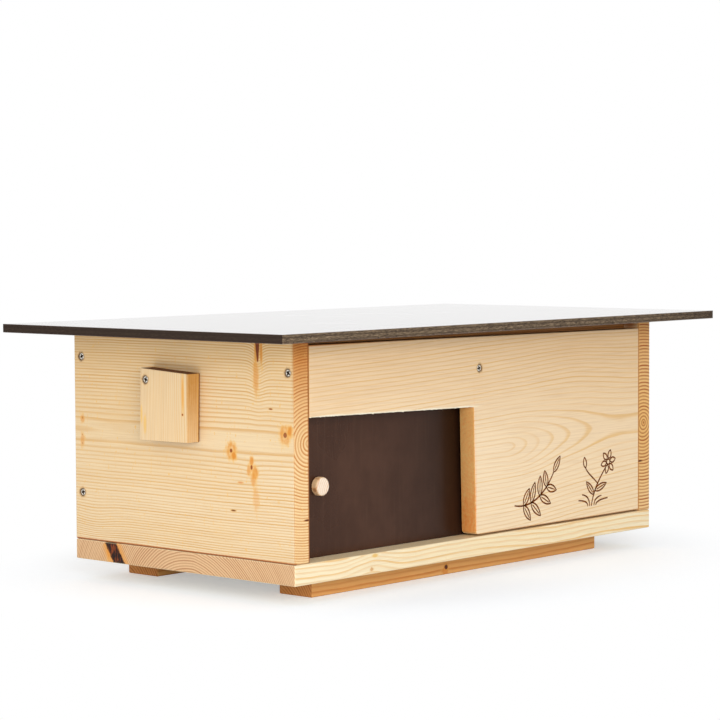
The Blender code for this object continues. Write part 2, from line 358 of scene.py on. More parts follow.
def arris_share(finish, coordinates, box):
    """1 along the edges of a box, 0 away from them."""
    gaps = []
    for axis, value in enumerate(coordinates):
        low, high = box[0][axis], box[1][axis]
        gaps.append((value - low).least(high - value))
    a, b, c = gaps
    middle = a.least(b).most(a.most(b).least(c))
    return 1 - finish.step(middle, 0.1 * MM, 1.3 * MM)


def wood(name, plank):
    """Solid wood: yearly rings about the pith, crossed by knots, so that all faces agree."""
    finish = new_finish(name)
    place = finish.coordinates()
    coordinates = finish.parts(place)
    facing = finish.parts(finish.facing())
    along = coordinates[plank.along]
    sides = [axis for axis in (X, Y, Z) if axis != plank.along]
    end = finish.step(facing[plank.along].math("ABSOLUTE"), 0.55, 0.85)

    def scales(lengthwise, across):
        return tuple(lengthwise if axis == plank.along else across for axis in (X, Y, Z))

    first = coordinates[sides[0]] - (along * plank.lean[0] + plank.pith[0])
    second = coordinates[sides[1]] - (along * plank.lean[1] + plank.pith[1])
    if plank.bow:
        start, span, depth = plank.bow
        inputs = {"Value": along, "From Min": start + span, "From Max": start}
        ahead = finish.node("MapRange", {"clamp": True}, inputs)
        first = first - (1 - ahead * ahead) * depth
    distance = (first * first + second * second) ** 0.5
    slow = finish.noise(place, scales(5.0, 14.0), 1.0, 0.4, plank.seed)
    quick = finish.noise(place, scales(24.0, 70.0), 1.0, 0.5, plank.seed + 3)
    distance = distance + (slow - 0.5) * (plank.wander * 4) + (quick - 0.5) * (plank.wander * 0.6)
    for swell in plank.swells:
        distance = distance + finish.blob(place, swell.centre, swell.reach) * swell.lift

    rings = (distance * (distance * plank.crowding + 1.0) / plank.ring).most(0.0)
    turn = rings.math("FRACT")
    year = rings.math("FLOOR")
    rate = finish.node("TexWhiteNoise", {"noise_dimensions": "1D"}, {"W": year + plank.seed}, "Value")
    late = finish.step(turn, 0.94 - plank.late_share, 0.84) * (1 - finish.step(turn, 0.90, 1.0))
    patchy = finish.noise(place, scales(7.0, 26.0), 2.0, 0.5, plank.seed + 7)
    line = late * (rate * 0.65 + 0.45) * (patchy + 0.4) * (distance * 4.0 + 0.75)

    fibre = finish.noise(place, scales(18.0, 1300.0), 3.0, 0.6, plank.seed + 11)
    tone = finish.noise(place, scales(2.5, 10.0), 2.0, 0.5, plank.seed + 13)
    cloud = finish.noise(place, scales(14.0, 22.0), 2.0, 0.5, plank.seed + 15)

    flat = finish.blend(plank.early, plank.late, line * plank.strength)
    warmth = finish.step(tone, 0.35, 0.75) * 0.5 + finish.step(cloud, 0.5, 0.8) * 0.3
    flat = finish.blend(flat, plank.warm, warmth)
    pores = finish.noise(place, (900.0, 900.0, 900.0), 2.0, 0.7, plank.seed + 17)
    crisp = finish.step(turn, 0.30, 0.74) * (1 - finish.step(turn, 0.90, 1.0)) * plank.end_strength
    sawn = finish.blend(plank.end_early, plank.end_late, crisp * (rate * 0.45 + 0.55))
    sawn = finish.blend(sawn, plank.end_late, finish.step(pores, 0.55, 0.8) * 0.2)
    sawn = finish.blend(sawn, plank.end_late, finish.step(tone, 0.4, 0.7) * 0.12)
    colour = finish.blend(flat, sawn, end)
    colour = finish.blend(colour, PORE_BROWN, (fibre - 0.42).most(0.0) * 0.7)

    ragged = finish.noise(place, (330.0, 330.0, 330.0), 3.0, 0.65, plank.seed + 19)
    runny = finish.noise(place, (420.0, 420.0, 110.0), 3.0, 0.6, plank.seed + 23)
    fray = ragged + runny - 1.0
    # Resin, marks and painted shade: some patches here are painted shade under the roof, in gaps and
    # round screw heads.
    for stain in plank.stains_and_shade:
        patch = finish.blob(place, stain.centre, stain.reach)
        if stain.hollow:
            reach = tuple(length * 0.55 for length in stain.reach)
            middle = finish.blob(place, stain.centre, reach)
            patch = (patch - middle * stain.hollow) * (stain.hollow * 0.5 + 1)
        if stain.multiplies:
            multiplied_patch = patch * (fray * stain.ragged + 1)
            colour = finish.blend(colour, stain.colour, multiplied_patch * stain.strength, "MULTIPLY")
            continue
        patch = patch + fray * (stain.ragged * 0.6)
        colour = finish.blend(colour, stain.faint, finish.step(patch, 0.08, 0.5) * stain.strength * 0.7)
        colour = finish.blend(colour, stain.colour, finish.step(patch, 0.3, 0.8) * stain.strength)
    for knot in plank.knots:
        branch = tuple(Vector(knot.toward).normalized())
        offset = finish.vector("SUBTRACT", place, knot.root)
        reach = finish.vector("DOT_PRODUCT", offset, branch, "Value")
        stray = finish.vector("LENGTH", finish.vector("CROSS_PRODUCT", offset, branch), None, "Value")
        size = reach.most(0.0) * knot.flare + knot.width
        share = stray / size + (ragged - 0.5) * 0.6
        there = finish.step(reach, 0.0, 2 * MM) * knot.dark
        core = (1 - finish.step(share, 0.75, 1.1)) * there
        colour = finish.blend(colour, KNOT_HALO, (1 - finish.step(share, 1.1, 2.0)) * there * 0.7)
        colour = finish.blend(colour, KNOT_CORE, core)
        colour = finish.blend(colour, KNOT_RIM, finish.step(share, 0.6, 0.95) * core * 0.6)
        if knot.char:
            colour = finish.blend(colour, CHARRED, finish.step(runny, 0.32, 0.52) * core * knot.char)

    # Tinted arrises: a dark arris colour paints shade along the edges, mottled like wear; a pale one
    # paints a highlight.
    if plank.box:
        edge_wear_and_shading = arris_share(finish, coordinates, plank.box) * (patchy * 0.8 + 0.5)
        colour = finish.blend(colour, plank.arris, edge_wear_and_shading * plank.arris_strength)
    height = line * 0.5 + fibre * 0.35 + pores * end * 0.8
    return finish.surface(
        Base_Color=colour,
        Roughness=0.5 + fibre * 0.12 + end * 0.12,
        Specular_IOR_Level=0.25,
        Normal=finish.bump(height, 0.12 * MM, 0.6),
    )


def film(name, dark, pale, gloss, along, deep=None):
    """Dark film on plywood: smooth, with cloudy wear, fine streaks, scuffs, dust and, where given, a
    deep patch of painted shade.
    """
    finish = new_finish(name)
    place = finish.coordinates()
    lengthwise = tuple(9.0 if axis == along else 170.0 for axis in (X, Y, Z))
    cloud = finish.noise(place, (9.0, 9.0, 9.0), 3.0, 0.55, 2.0)
    blotch = finish.noise(place, (26.0, 26.0, 18.0), 3.0, 0.6, 6.0)
    dust = finish.noise(place, (420.0, 420.0, 420.0), 2.0, 0.6, 5.0)
    streak = finish.noise(place, lengthwise, 3.0, 0.6, 8.0)
    scuff = finish.noise(place, tuple(scale * 3 for scale in lengthwise), 2.0, 0.7, 12.0)
    colour = finish.blend(dark, pale, cloud * 0.6 + finish.step(blotch, 0.4, 0.7) * 0.4)
    colour = finish.blend(colour, srgb(104, 76, 60), finish.step(streak, 0.5, 0.85) * 0.3)
    colour = finish.blend(colour, srgb(122, 96, 78), finish.step(scuff, 0.68, 0.78) * 0.2)
    colour = finish.blend(colour, srgb(140, 112, 92), finish.step(dust, 0.74, 0.82) * 0.15)
    # A darker patch: painted shade.
    if deep:
        colour = finish.blend(colour, srgb(30, 14, 6), finish.blob(place, *deep) * 0.95)
    rough = 0.24 + cloud * 0.08 + finish.step(dust, 0.6, 0.75) * 0.1 + finish.step(scuff, 0.6, 0.8) * 0.2
    return finish.surface(
        Base_Color=colour,
        Roughness=rough,
        Specular_IOR_Level=0.12,
        Coat_Weight=gloss,
        Coat_Roughness=0.04,
        Coat_IOR=1.6,
        Normal=finish.bump(streak * 0.4 + cloud, 0.05 * MM, 0.2),
    )


def ply_edge(name, axis, base, thickness):
    """The edge of a plywood sheet: a dark stain over veneers that run along and across in turn."""
    finish = new_finish(name)
    place = finish.coordinates()
    level = (finish.parts(place)[axis] - base) * (PLIES / thickness)
    turn = level.math("FRACT")
    rate = finish.node("TexWhiteNoise", {"noise_dimensions": "1D"}, {"W": level.math("FLOOR")}, "Value")
    seam = 1 - finish.step(turn, 0.04, 0.25)
    scales = tuple(1900.0 if number == axis else 210.0 for number in (X, Y, Z))
    streak = finish.noise(place, scales, 4.0, 0.75, 4.0)
    chips = finish.noise(place, (620.0, 620.0, 1100.0), 3.0, 0.7, 9.0)
    sinew = finish.step(streak, 0.36, 0.70) * (rate * 0.7 + 0.4)
    colour = finish.blend(srgb(58, 45, 37), srgb(172, 147, 116), sinew)
    colour = finish.blend(colour, srgb(34, 26, 22), seam * 0.7)
    colour = finish.blend(colour, srgb(212, 196, 164), finish.step(chips, 0.60, 0.74) * 0.5)
    colour = finish.blend(colour, srgb(50, 38, 32), finish.step(finish.parts(place)[X], 0.2, 0.4) * 0.6)
    side = finish.parts(finish.facing())[X].math("ABSOLUTE")
    colour = finish.blend(colour, srgb(46, 34, 28), finish.step(side, 0.5, 0.8) * 0.9)
    height = streak + seam * -0.8 + chips * 0.6
    return finish.surface(
        Base_Color=colour,
        Roughness=0.62 + chips * 0.1,
        Specular_IOR_Level=0.12,
        Normal=finish.bump(height, 0.25 * MM, 0.7),
    )


def zinc(name, bright, dull):
    """Zinc plate, mottled, with rubbed spots."""
    finish = new_finish(name)
    place = finish.coordinates()
    mottle = finish.noise(place, (1100.0, 1100.0, 1100.0), 2.0, 0.6, 1.0)
    rubbed = finish.noise(place, (420.0, 420.0, 420.0), 2.0, 0.5, 2.0)
    return finish.surface(
        Base_Color=finish.blend(bright, dull, mottle * 0.7 + finish.step(rubbed, 0.5, 0.7) * 0.3),
        Metallic=1.0,
        Roughness=0.24 + mottle * 0.16,
        Normal=finish.bump(mottle, 0.03 * MM, 0.3),
    )


def burnt(name):
    """Scorched lines: near black in the middle, brown where the heat was less."""
    finish = new_finish(name)
    place = finish.coordinates()
    heat = finish.noise(place, (300.0, 300.0, 300.0), 2.0, 0.6, 3.0)
    char = finish.noise(place, (2400.0, 2400.0, 2400.0), 2.0, 0.6, 5.0)
    colour = finish.blend(srgb(104, 50, 14), srgb(166, 94, 36), finish.step(heat, 0.45, 0.75))
    colour = finish.blend(colour, srgb(48, 22, 8), finish.step(char, 0.5, 0.8) * 0.5)
    return finish.surface(
        Base_Color=colour,
        Roughness=0.72 + char * 0.2,
        Specular_IOR_Level=0.1,
        Normal=finish.bump(char, 0.08 * MM, 0.6),
    )


def give(node, material):
    """Dresses a CAD node in a material."""
    slots = frame["nodes"][node].data.materials
    slots.clear()
    slots.append(material)


def add_piece(name, mesh, body):
    """Adds a new piece that rides on a body and takes its finish from a slot."""
    piece = bpy.data.objects.new(name, mesh)
    bpy.context.scene.collection.objects.link(piece)
    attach(piece, body)
    return piece


def to_mesh(form, name, smooth=0, materials=()):
    """Turns a form into a mesh, shaded round except at sharp corners and round flat sides."""
    bmesh.ops.recalc_face_normals(form, faces=form.faces)
    for face in form.faces:
        face.smooth = True
    for edge in form.edges:
        flat = any(len(face.verts) > 4 for face in edge.link_faces)
        edge.smooth = not flat and edge.calc_face_angle(math.pi) < math.radians(smooth)
    mesh = bpy.data.meshes.new(name)
    form.to_mesh(mesh)
    form.free()
    for material in materials:
        mesh.materials.append(material)
    return mesh


def loft(form, loops):
    """Skins closed loops of points of equal count, and caps the first and last."""
    rings = [[form.verts.new(point) for point in loop] for loop in loops]
    count = len(rings[0])
    for below, above in zip(rings, rings[1:]):
        for step in range(count):
            after = (step + 1) % count
            form.faces.new((below[step], below[after], above[after], above[step]))
    form.faces.new(list(reversed(rings[0])))
    form.faces.new(rings[-1])


def inset(outline, amounts):
    """Moves a closed flat outline, given counter-clockwise, inward by one amount or one each."""
    moved = []
    count = len(outline)
    for number, point in enumerate(outline):
        before = Vector(point) - Vector(outline[number - 1])
        after = Vector(outline[(number + 1) % count]) - Vector(point)
        first = Vector((-before.y, before.x)).normalized()
        second = Vector((-after.y, after.x)).normalized()
        miter = (first + second).normalized()
        amount = amounts[number] if isinstance(amounts, list) else amounts
        moved.append(Vector(point) + miter * (amount / max(miter.dot(first), 0.3)))
    return moved


def divided(start, end, step):
    """Points from start to just before end, about a step apart."""
    start, end = Vector(start), Vector(end)
    pieces = max(1, round((end - start).length / step))
    return [start.lerp(end, share / pieces) for share in range(pieces)]


def turned(form, profile, sides, place, axis):
    """A closed solid of revolution from (radius, distance along the axis) points."""
    matrix = Matrix.Translation(place) @ UP.rotation_difference(axis).to_matrix().to_4x4()
    loops = []
    for radius, along in profile:
        loop = []
        for step in range(sides):
            angle = math.tau * step / sides
            loop.append(matrix @ Vector((radius * math.cos(angle), radius * math.sin(angle), along)))
        loops.append(loop)
    loft(form, loops)


def middle_at(node, y):
    """The middle of a node as the front shows it, at a given depth."""
    low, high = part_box(node)
    return Vector(((low.x + high.x) / 2, y, (low.z + high.z) / 2))


def drilled(mesh, mouth, axis, thick):
    """A mesh with a countersunk screw hole cut through its thickness."""
    form = bmesh.new()
    rim = SCREW_HEAD + RIM_CLEARANCE
    bore = SCREW_CREST + BORE_CLEARANCE
    base = HEAD_SINK + SCREW_RIM + SCREW_HEAD - SCREW_CREST + BORE_CLEARANCE
    profile = [(rim, -DRILL_OVERRUN), (rim, HEAD_SINK), (bore, base), (bore, thick + DRILL_OVERRUN)]
    turned(form, profile, DRILL_SIDES, mouth, axis)
    cutter = bpy.data.objects.new("drill", to_mesh(form, "drill", 0, mesh.materials))
    board = bpy.data.objects.new("board", mesh)
    for piece in (cutter, board):
        bpy.context.scene.collection.objects.link(piece)
    modifier = board.modifiers.new("hole", "BOOLEAN")
    modifier.operation = "DIFFERENCE"
    modifier.solver = "EXACT"
    modifier.object = cutter
    bpy.context.view_layer.update()
    graph = bpy.context.evaluated_depsgraph_get()
    cut = bpy.data.meshes.new_from_object(board.evaluated_get(graph))
    for piece in (cutter, board):
        bpy.data.objects.remove(piece)
    form = bmesh.new()
    form.from_mesh(cut)
    return to_mesh(form, mesh.name, 40, mesh.materials)


def torn(x, left):
    """How far the saw tore the lintel's front edge up, or left a splinter below it, along it."""
    rough = noise.noise(Vector((x * 260, 0.0, 4.0))) + 0.6 * noise.noise(Vector((x * 800, 3.0, 0.0)))
    share = 1 - min(1.0, (x - left) / (190 * MM))
    notch = max(0.0, rough) * TEAR_HEIGHT
    splinter = max(0.0, -0.2 - rough) * SPLINTER_LENGTH
    return (notch - splinter) * (0.35 + 0.65 * share)


def front_board():
    """The front board, sawn to an L, with the torn fibres that the saw left under the lintel."""
    low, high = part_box("front_panel")
    foot = DOORWAY_EDGE_FOOT + DOORWAY_CORNER
    corners = [(foot, low.z), (high.x, low.z), (high.x, high.z - FRONT_TOP_DROP), (low.x, high.z)]
    corners += [(low.x, LINTEL_LEFT), (DOORWAY_EDGE_TOP, LINTEL_RIGHT)]
    for step in range(CORNER_STEPS):
        angle = math.pi + math.radians(90) * step / CORNER_STEPS
        up = DOORWAY_CORNER * (1 + math.sin(angle))
        corners.append((foot + DOORWAY_CORNER * math.cos(angle), low.z + up))
    flat, tears = [], []
    for number, corner in enumerate(corners):
        under = corner == (low.x, LINTEL_LEFT)
        after = corners[(number + 1) % len(corners)]
        points = divided(corner, after, TEAR_STEP if under else EDGE_STEP)
        flat += points
        tears += [torn(point.x, low.x) if under else 0.0 for point in points]

    def at(depth, amount, tear=0.0):
        pairs = zip(inset(flat, amount), tears)
        return [(point.x, low.y + depth, point.y + lift * tear) for point, lift in pairs]

    form = bmesh.new()
    thick = high.y - low.y
    ease = BOARD_EASE
    loft(form, [
        at(0.0, ease, 1.0),
        at(ease * 0.3, ease * 0.3, 1.0),
        at(ease, 0.0, 0.55),
        at(TEAR_REACH, 0.0),
        at(thick - ease, 0.0),
        at(thick - ease * 0.3, ease * 0.3),
        at(thick, ease),
    ])
    mesh = to_mesh(form, "front_board", 40, [front_wood(low, high)])
    mesh = drilled(mesh, middle_at("screw_front_rail", low.y), Vector((0, 1, 0)), thick)
    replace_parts(add_piece("front_board", mesh, "house"), "front_panel")


def recess_depth(across, along):
    """How deep the cross recess of a screw head is at a place on it."""
    near = min(abs(across), abs(along))
    far = max(abs(across), abs(along))
    half = RECESS_HALF * (1 - RECESS_TAPER * far / RECESS_REACH)
    inside = min(1.0, max(0.0, (half - near) / RECESS_SLOPE + 0.5))
    ends = min(1.0, max(0.0, (RECESS_REACH - far) / RECESS_END))
    return RECESS_DEPTH * inside * ends


def screw_mesh(name, length, turn, materials):
    """A countersunk screw with a cross recess and a cut thread; its head's top is at the origin."""
    form = bmesh.new()
    sides = SCREW_SIDES
    angles = [math.tau * step / sides for step in range(sides)]

    def ring(radius, height):
        """A ring of points; its radius and its height may follow the angle."""
        made = []
        for angle in angles:
            reach = radius(angle) if callable(radius) else radius
            across, along = reach * math.cos(angle), reach * math.sin(angle)
            level = height(across, along) if callable(height) else height
            made.append(form.verts.new((across, along, level)))
        return made

    def head_top(across, along):
        swung = math.cos(turn) * across + math.sin(turn) * along
        return -recess_depth(swung, math.cos(turn) * along - math.sin(turn) * across)

    flat = SCREW_HEAD - HEAD_EASE
    rings = [ring(number / HEAD_RINGS * flat, head_top) for number in range(1, HEAD_RINGS + 1)]
    centre = form.verts.new((0, 0, -RECESS_DEPTH))
    for step in range(sides):
        form.faces.new((centre, rings[0][step], rings[0][(step + 1) % sides]))
    neck = -SCREW_RIM - (SCREW_HEAD - SCREW_CORE)
    rings += [ring(SCREW_HEAD, -HEAD_EDGE), ring(SCREW_HEAD, -SCREW_RIM), ring(SCREW_CORE, neck)]
    thread_top = neck - THREAD_PITCH / 2
    steps = int((length + thread_top) / THREAD_PITCH * THREAD_STEPS)
    for number in range(steps + 1):
        height = thread_top - (length + thread_top) * number / steps
        point = min(1.0, max(0.05, (length + height) / SCREW_POINT))
        grown = min(1.0, number / THREAD_STEPS)

        def crest(angle):
            phase = (angle / math.tau + height / THREAD_PITCH) % 1.0
            tooth = max(0.0, 1 - abs(phase - 0.5) / THREAD_TOOTH)
            return (SCREW_CORE + (SCREW_CREST - SCREW_CORE) * tooth * grown) * point

        rings.append(ring(crest, height))
    for above, below in zip(rings, rings[1:]):
        for step in range(sides):
            after = (step + 1) % sides
            form.faces.new((above[after], above[step], below[step], below[after]))
    form.faces.new(list(reversed(rings[-1])))
    # Faces in the cross recess and round the head's rim take the dark zinc: painted shade.
    for face in form.faces:
        middle = face.calc_center_median()
        deep = -RECESS_DEPTH * 1.01 < middle.z < -RECESS_LIP and middle.xy.length < RECESS_REACH
        face.material_index = 1 if deep or middle.xy.length > HEAD_BRIGHT else 0
    return to_mesh(form, name, 35, materials)


HEAD_SIDES = {
    "screw_left": (-1, 0, 0),
    "screw_right": (1, 0, 0),
    "screw_floor": (0, 0, -1),
    "screw_runner": (0, 0, -1),
    "screw_batten": (0, 0, -1),
    "screw_front": (0, -1, 0),
    "screw_guide": (0, 1, 0),
    "screw_sill": (0, 0, 1),
    "knob_screw": (0, 1, 0),
    "vent_pivot": (-1, 0, 0),
}


def screw_seat(node):
    """The middle of a screw's head, the way it faces, and the screw's length."""
    low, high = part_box(node)
    side = Vector(next(side for start, side in HEAD_SIDES.items() if node.startswith(start)))
    length = abs((high - low).dot(side))
    return (low + high) / 2 + side * (length / 2), side, length


def screws():
    bright = zinc("zinc_plate", srgb(246, 240, 228), srgb(208, 200, 186))
    # Dark zinc for the recess and rim of each head: painted shade.
    dark = zinc("head_painted_shade", srgb(104, 84, 66), srgb(56, 42, 32))
    chance = random.Random(7)
    body_of = {}
    for body, nodes in frame["record"]["behaviour"]["bodies"].items():
        for node in nodes:
            body_of[node] = body
    for node in sorted(frame["nodes"]):
        if not (node.startswith("screw_") or node.endswith("_screw")):
            continue
        top, side, length = screw_seat(node)
        name = node + "_threaded"
        mesh = screw_mesh(name, length, chance.uniform(0, math.pi / 2), [bright, dark])
        mesh.transform(Matrix.Translation(top) @ UP.rotation_difference(side).to_matrix().to_4x4())
        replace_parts(add_piece(name, mesh, body_of[node]), node)


def ply_sheet(name, node, body, materials, hole=None):
    """A plywood sheet whose edge shows its veneers as ridges with sunken glue lines."""
    low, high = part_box(node)
    across = Y if high.y - low.y < high.z - low.z else Z
    other = 3 - across
    thick = high[across] - low[across]
    corners = [(low.x, low[other]), (high.x, low[other]), (high.x, high[other]), (low.x, high[other])]
    outline = []
    for number, corner in enumerate(corners):
        outline += divided(corner, corners[(number + 1) % 4], PLY_STEP)

    def at(amount, share, waver=0.0):
        level = low[across] + thick * share
        amounts = []
        for point in outline:
            rough = noise.noise(Vector((point.x * 70, point.y * 70, share * 23)))
            amounts.append(amount + waver * (0.5 + 0.5 * rough))
        loop = inset(outline, amounts)
        if across == Y:
            return [(point.x, level, point.y) for point in loop]
        return [(point.x, point.y, level) for point in loop]

    form = bmesh.new()
    skin = PLY_EASE / thick
    width = (1 - 2 * skin) / PLIES
    loops = [at(PLY_EASE, 0.0), at(PLY_SKIN, skin)]
    for ply in range(PLIES):
        start = skin + width * ply
        if ply:
            loops.append(at(PLY_GROOVE, start))
        loops.append(at(PLY_CREST, start + width * 0.25, PLY_WAVER))
        loops.append(at(PLY_CREST, start + width * 0.75, PLY_WAVER))
    loops += [at(PLY_SKIN, 1 - skin), at(PLY_EASE, 1.0)]
    loft(form, loops)
    count = len(outline)
    last = count * (len(loops) - 2)
    for number, face in enumerate(form.faces):
        face.material_index = 1 if count <= number < last else 0
    mesh = to_mesh(form, name, 50, materials)
    if hole:
        mesh = drilled(mesh, *hole)
    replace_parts(add_piece(name, mesh, body), node)


def plywood():
    low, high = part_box("roof_board")
    roof_film = film("roof_film", srgb(64, 38, 28), srgb(78, 50, 38), 1.0, X)
    roof_edge = ply_edge("roof_edge", Z, low.z, high.z - low.z)
    ply_sheet("roof_sheet", "roof_board", "roof", [roof_film, roof_edge])
    low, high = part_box("sliding_door")
    # The door's darker right part: painted shade beside the doorway's edge.
    deep = ((high.x, low.y, low.z + 110 * MM), mm(95, 50, 170))
    door_film = film("door_film", srgb(60, 36, 24), srgb(84, 56, 42), 0.0, Z, deep)
    door_edge = ply_edge("door_edge", Y, low.y, high.y - low.y)
    hole = (middle_at("knob_screw", high.y), Vector((0, -1, 0)), high.y - low.y)
    ply_sheet("door_panel", "sliding_door", "door", [door_film, door_edge], hole)


def knob():
    """A slice of turned rod with a rounded rim, sanded a little hollow on its face."""
    low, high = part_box("door_knob")
    radius = (high.x - low.x) / 2
    length = high.y - low.y
    rim = KNOB_RIM
    profile = [(radius - KNOB_BACK_EASE, 0.0), (radius, KNOB_BACK_EASE)]
    for step in range(KNOB_STEPS + 1):
        angle = math.radians(90) * step / KNOB_STEPS
        profile.append((radius - rim + rim * math.cos(angle), length - rim + rim * math.sin(angle)))
    profile += [(radius * 0.55, length - KNOB_HOLLOW * 2 / 3), (radius * 0.25, length - KNOB_HOLLOW)]
    form = bmesh.new()
    back = middle_at("door_knob", high.y)
    turned(form, profile, KNOB_SIDES, back, Vector((0, -1, 0)))
    # The darker patch low on the knob's left side is painted shade.
    spot = back + Vector((-radius * 0.94, -length * 0.55, -radius * 0.35))
    plank = Plank(
        Y, (back.x + 26 * MM, back.z - 12 * MM), ring=3.3 * MM, wander=0.9 * MM, seed=101.0,
        end_early=srgb(255, 241, 220), end_late=srgb(240, 190, 152), end_strength=0.9,
        early=srgb(250, 212, 166), late=srgb(224, 166, 112), warm=srgb(240, 192, 138),
        stains_and_shade=[StainAndShade(spot, mm(2.4, 3, 2.4), 0.6, srgb(158, 92, 44), srgb(218, 158, 104), 0.5)])
    mesh = to_mesh(form, "turned_knob", 40, [wood("knob_beech", plank)])
    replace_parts(add_piece("turned_knob", mesh, "door"), "door_knob")


class Drawing:
    """Burnt lines on the front board: x to the right and z up from the drawing's own corner."""

    def __init__(self, from_left):
        self.corner = Vector((LEFT_FACE + from_left, FLOOR_TOP + SPRIG_RISE))
        self.width, self.height = SPRIG_SIZE
        self.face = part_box("front_panel")[0].y
        self.form = bmesh.new()

    def at(self, across, up):
        """A place given by its shares of the drawing's width and height."""
        return Vector((across * self.width, up * self.height))

    def line(self, points, width=LINE_WIDTH):
        """A flat ribbon with round ends along the points, thinner at its tips."""
        left, right = [], []
        last = len(points) - 1
        for number, point in enumerate(points):
            ahead = points[min(number + 1, last)] - points[max(number - 1, 0)]
            aside = Vector((-ahead.y, ahead.x)).normalized()
            grown = TIP_SHARE + (1 - TIP_SHARE) * math.sin(math.pi * number / last)
            left.append(point + aside * (width / 2 * grown))
            right.append(point - aside * (width / 2 * grown))
        tip = width / 2 * TIP_SHARE
        start = cap(points[0], points[0] - points[1], tip)
        end = cap(points[-1], points[-1] - points[-2], tip)
        rim = left[::-1] + start + right + end
        loops = []
        for depth, shrink in ((LINE_SUNK, 0.0), (-LINE_PROUD * 0.5, 0.0), (-LINE_PROUD, LINE_EASE)):
            flat = [point + self.corner for point in inset(rim, shrink)]
            loops.append([(point.x, self.face + depth, point.y) for point in flat])
        loft(self.form, loops)

    def leaf(self, root, angle, length, width, vein=True):
        """A pointed leaf: two bowed edges and a midrib."""
        way = pointing(angle)
        aside = Vector((-way.y, way.x))
        tip = root + way * length
        for side in (1, -1):
            first = root + way * length * 0.25 + aside * width * side * 0.75
            second = root + way * length * 0.7 + aside * width * side * 0.6
            self.line(bend(root, first, second, tip))
        if vein:
            self.line([root.lerp(tip, share / 6) for share in range(1, 6)], LINE_WIDTH * 0.8)

    def finish(self, name, material):
        mesh = to_mesh(self.form, name, 40, [material])
        add_piece(name, mesh, "house")


def pointing(angle):
    return Vector((math.cos(angle), math.sin(angle)))


def cap(point, out, radius):
    """Points round the end of a line."""
    start = math.atan2(out.y, out.x) - math.radians(90)
    return [point + pointing(start + math.pi * step / 6) * radius for step in range(1, 6)]


def bend(a, b, c, d, steps=14):
    """Points along a Bezier curve."""
    points = []
    for step in range(steps + 1):
        t = step / steps
        points.append(a * (1 - t) ** 3 + b * 3 * t * (1 - t) ** 2 + c * 3 * t * t * (1 - t) + d * t ** 3)
    return points


def heading(points, spot):
    """The direction of a curve at one of its points."""
    ahead = points[min(spot + 1, len(points) - 1)] - points[max(spot - 1, 0)]
    return math.atan2(ahead.y, ahead.x)


def leafy_sprig(drawing):
    """A bowed stem with leaves in pairs and one at its tip."""
    at = drawing.at
    height = drawing.height
    steps = 28
    stem = bend(at(0.02, 0.20), at(0.30, 0.12), at(0.62, 0.26), at(0.84, 0.72), steps)
    drawing.line(stem, STEM_WIDTH)
    for share, size in ((0.22, 0.9), (0.42, 1.0), (0.62, 0.95), (0.8, 0.8)):
        spot = int(share * steps)
        for side in (1, -1):
            angle = heading(stem, spot) + side * math.radians(58)
            drawing.leaf(stem[spot], angle, height * 0.38 * size, height * 0.13)
    drawing.leaf(stem[-1], heading(stem, steps), height * 0.34, height * 0.12)


def flower_sprig(drawing):
    """A stem with a round-petalled flower, a bud, two leaves and blades of grass at its foot."""
    at = drawing.at
    height = drawing.height
    stem = bend(at(0.30, 0.0), at(0.36, 0.3), at(0.46, 0.45), at(0.62, 0.68), 20)
    drawing.line(stem, STEM_WIDTH)
    heart = at(0.68, 0.78)
    for number in range(6):
        angle = math.tau * number / 6 + math.radians(12)
        root = heart + pointing(angle) * height * 0.06
        drawing.leaf(root, angle, height * 0.17, height * 0.095, False)
    drawing.line([heart + pointing(math.tau * step / 14) * height * 0.05 for step in range(15)])
    drawing.leaf(stem[7], math.radians(18), height * 0.38, height * 0.11)
    drawing.leaf(stem[5], math.radians(132), height * 0.34, height * 0.11)
    branch = bend(stem[11], stem[11] + at(-0.05, 0.08), at(0.20, 0.62), at(0.17, 0.72), 10)
    drawing.line(branch)
    drawing.leaf(branch[-1], math.radians(100), height * 0.2, height * 0.09, False)
    blades = [(0.26, 0.10, 0.22), (0.22, 0.02, 0.12), (0.36, 0.52, 0.16), (0.40, 0.66, 0.10)]
    for foot, reach, tip in blades:
        middle = foot * 0.7 + reach * 0.3
        drawing.line(bend(at(foot, 0.0), at(foot, tip * 0.5), at(middle, tip * 0.9), at(reach, tip)))


floor_low, floor_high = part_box("floor_board")
left_low, left_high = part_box("side_left")
right_low, right_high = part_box("side_right")
FLOOR_TOP = floor_high.z
LEFT_FACE = left_low.x


def on_left_wall(from_front, above_floor, depth=0.0):
    """A place on the left wall's outer face, in mm from its front edge and from the floor."""
    return (LEFT_FACE + depth * MM, left_low.y + from_front * MM, FLOOR_TOP + above_floor * MM)


def about_screws(*starts):
    """Painted shade round each countersunk hole, in the screws whose names start as given: a dark rim
    where the hole's shade falls.
    """
    stains_and_shade = []
    reach = (SCREW_HEAD * 1.75,) * 3
    for node in sorted(frame["nodes"]):
        if node.startswith(starts):
            head = screw_seat(node)[0]
            stains_and_shade.append(StainAndShade(head, reach, 0.85, SCREW_SHADE, SCREW_FRINGE, 0.7))
    return stains_and_shade


